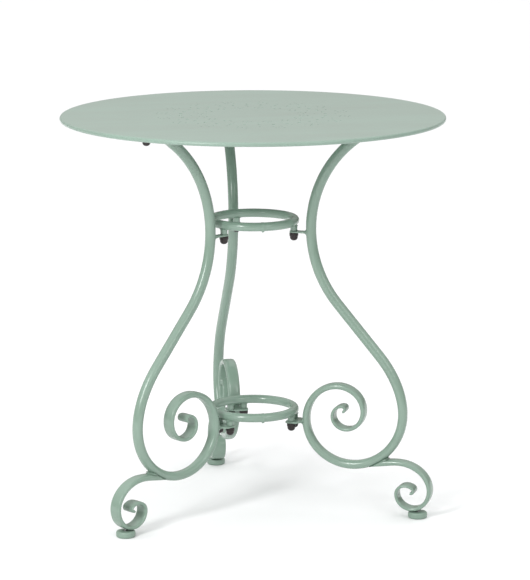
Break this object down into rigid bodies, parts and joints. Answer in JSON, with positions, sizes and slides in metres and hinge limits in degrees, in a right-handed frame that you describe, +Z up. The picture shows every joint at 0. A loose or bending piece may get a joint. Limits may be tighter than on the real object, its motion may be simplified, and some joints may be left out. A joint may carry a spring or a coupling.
{
  "type": "bistro table",
  "caption": "Round garden bistro table with a pierced sheet-metal top on scrolled tube legs joined by two rings, standing on screw-in levelling feet.",
  "frame": {"origin": "on the floor plane under the middle of the round top", "axes": "+Z up; one foot lies along +Y, the other two 30 degrees below +X and -X"},
  "size_m": [0.7, 0.7, 0.731],
  "materials": {
    "top_paint": "matte powder coat in a greyed sage green, very fine orange-peel texture",
    "frame_paint": "matte powder coat in a greyed sage green, very fine orange-peel texture",
    "pad_paint": "matte powder coat in a greyed sage green, very fine orange-peel texture",
    "zinc": "bright zinc plating, satin",
    "cap_plastic": "smooth dark brown moulded plastic, semi-matt"
  },
  "bodies": {
    "table_frame": {"tabletop": "top_paint", "upper_ring": "frame_paint", "lower_ring": "frame_paint", "leg_right": "frame_paint", "foot_scroll_right": "frame_paint", "upper_tab_right": "frame_paint", "lower_tab_right": "frame_paint", "upper_stud_right": "frame_paint", "upper_nut_right": "zinc", "upper_cap_right": "cap_plastic", "lower_stud_right_1": "frame_paint", "lower_nut_right_1": "zinc", "lower_cap_right_1": "cap_plastic", "lower_stud_right_2": "frame_paint", "lower_nut_right_2": "zinc", "lower_cap_right_2": "cap_plastic", "top_stud_right": "frame_paint", "top_nut_right": "zinc", "top_cap_right": "cap_plastic", "leg_back": "frame_paint", "foot_scroll_back": "frame_paint", "upper_tab_back": "frame_paint", "lower_tab_back": "frame_paint", "upper_stud_back": "frame_paint", "upper_nut_back": "zinc", "upper_cap_back": "cap_plastic", "lower_stud_back_1": "frame_paint", "lower_nut_back_1": "zinc", "lower_cap_back_1": "cap_plastic", "lower_stud_back_2": "frame_paint", "lower_nut_back_2": "zinc", "lower_cap_back_2": "cap_plastic", "top_stud_back": "frame_paint", "top_nut_back": "zinc", "top_cap_back": "cap_plastic", "leg_left": "frame_paint", "foot_scroll_left": "frame_paint", "upper_tab_left": "frame_paint", "lower_tab_left": "frame_paint", "upper_stud_left": "frame_paint", "upper_nut_left": "zinc", "upper_cap_left": "cap_plastic", "lower_stud_left_1": "frame_paint", "lower_nut_left_1": "zinc", "lower_cap_left_1": "cap_plastic", "lower_stud_left_2": "frame_paint", "lower_nut_left_2": "zinc", "lower_cap_left_2": "cap_plastic", "top_stud_left": "frame_paint", "top_nut_left": "zinc", "top_cap_left": "cap_plastic"},
    "levelling_foot_right": {"foot_pad_right": "pad_paint", "foot_screw_right": "zinc"},
    "levelling_foot_back": {"foot_pad_back": "pad_paint", "foot_screw_back": "zinc"},
    "levelling_foot_left": {"foot_pad_left": "pad_paint", "foot_screw_left": "zinc"}
  },
  "joints": [
    {"name": "levelling_foot_right_slide", "type": "slide", "parent": "table_frame", "child": "levelling_foot_right", "axis": [0, 0, -1], "range_m": [0, 0.004]},
    {"name": "levelling_foot_back_slide", "type": "slide", "parent": "table_frame", "child": "levelling_foot_back", "axis": [0, 0, -1], "range_m": [0, 0.004]},
    {"name": "levelling_foot_left_slide", "type": "slide", "parent": "table_frame", "child": "levelling_foot_left", "axis": [0, 0, -1], "range_m": [0, 0.004]}
  ]
}
